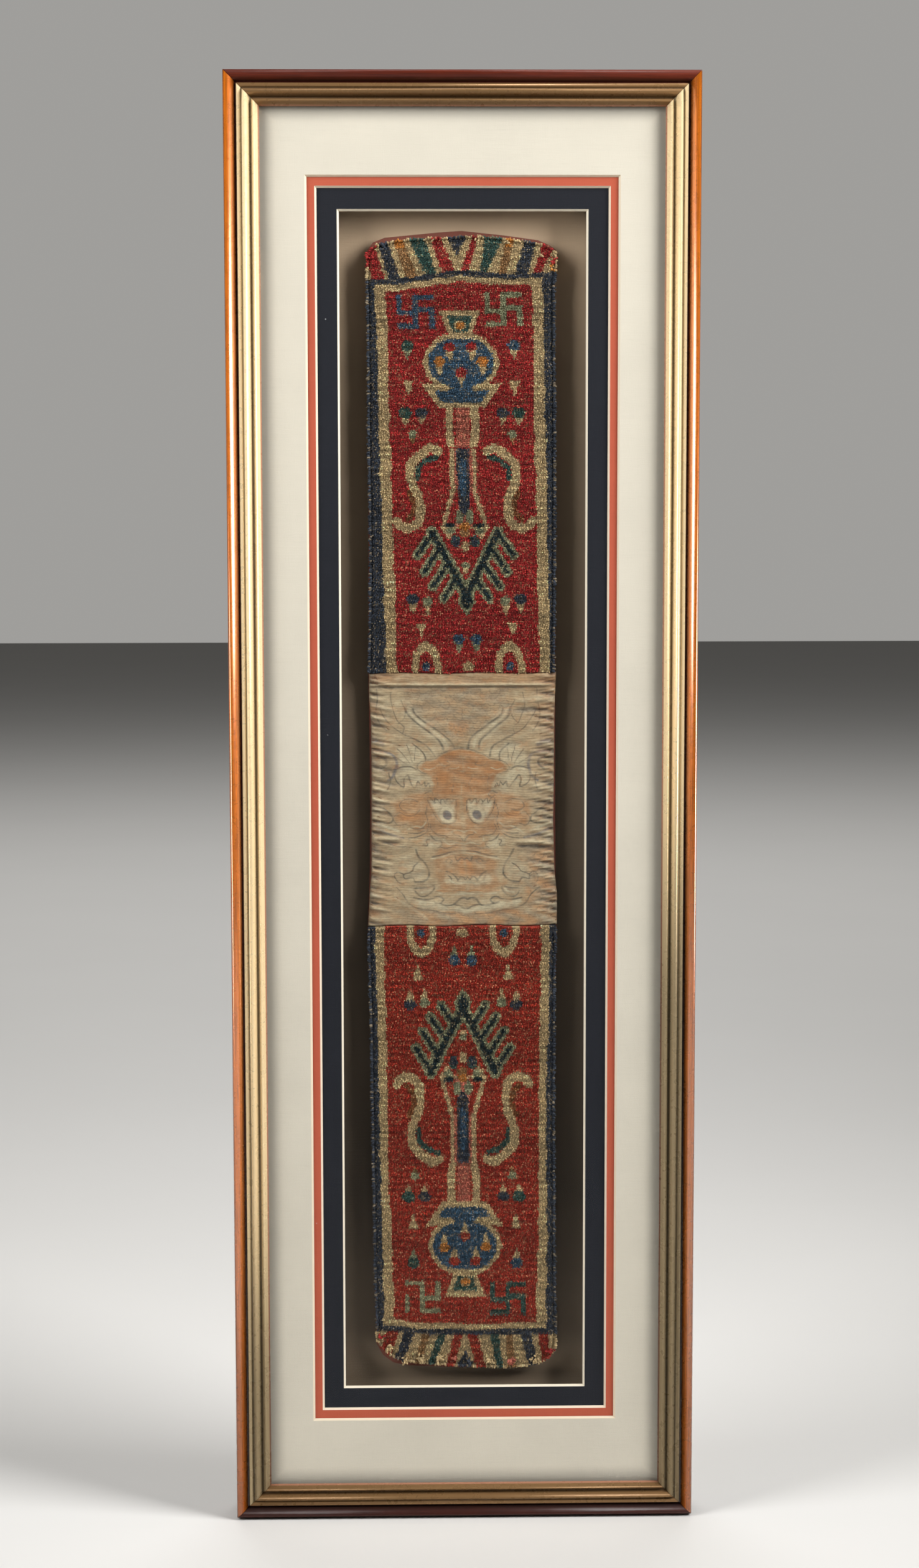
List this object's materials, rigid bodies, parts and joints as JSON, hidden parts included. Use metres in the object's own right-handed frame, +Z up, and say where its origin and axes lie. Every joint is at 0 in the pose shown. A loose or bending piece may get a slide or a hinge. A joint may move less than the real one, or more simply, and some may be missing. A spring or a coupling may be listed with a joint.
{
  "type": "brocade panel in glazed picture frame",
  "caption": "Tall glazed shadow-box picture frame with window mats around a long wool pile strip that has a silk brocade dragon panel sewn across its middle.",
  "frame": {"origin": "centre of the frame's box, midway between its back and its front", "axes": "+Z up the picture, +X to the viewer's right, +Y from the picture's front to the wall"},
  "size_m": [0.362, 0.0436, 1.128],
  "materials": {
    "moulding": "cherry-stained bead and rubbed gold leaf steps over reddish bole, satin",
    "glass": "clear float glass, smooth",
    "mat_cream": "cream silk-faced mat board, fine upright weave, cream bevel",
    "mat_coral": "matte coral mat board, pale bevel",
    "mat_navy": "matte dark navy mat board, pale bevel",
    "foam_board": "plain off-white foam board",
    "silk": "taupe silk, fine upright weave",
    "back_board": "plain brown hardboard",
    "lining": "red-brown wool cloth, matte",
    "pile": "knotted wool pile in red, navy, cream, blue, green and tan",
    "brocade": "faded beige and orange-brown silk with fine grey-blue drawn lines, soft sheen"
  },
  "bodies": {
    "root": {"rail_top": "moulding", "rail_bottom": "moulding", "rail_left": "moulding", "rail_right": "moulding", "glazing": "glass", "mat_cream": "mat_cream", "mat_coral": "mat_coral", "mat_navy": "mat_navy", "box_spacer": "foam_board", "silk_backing": "silk", "textile_block": "foam_board", "back_board": "back_board", "lining_cloth": "lining", "pile_strip_upper": "pile", "pile_strip_lower": "pile", "brocade_panel": "brocade"}
  },
  "joints": []
}
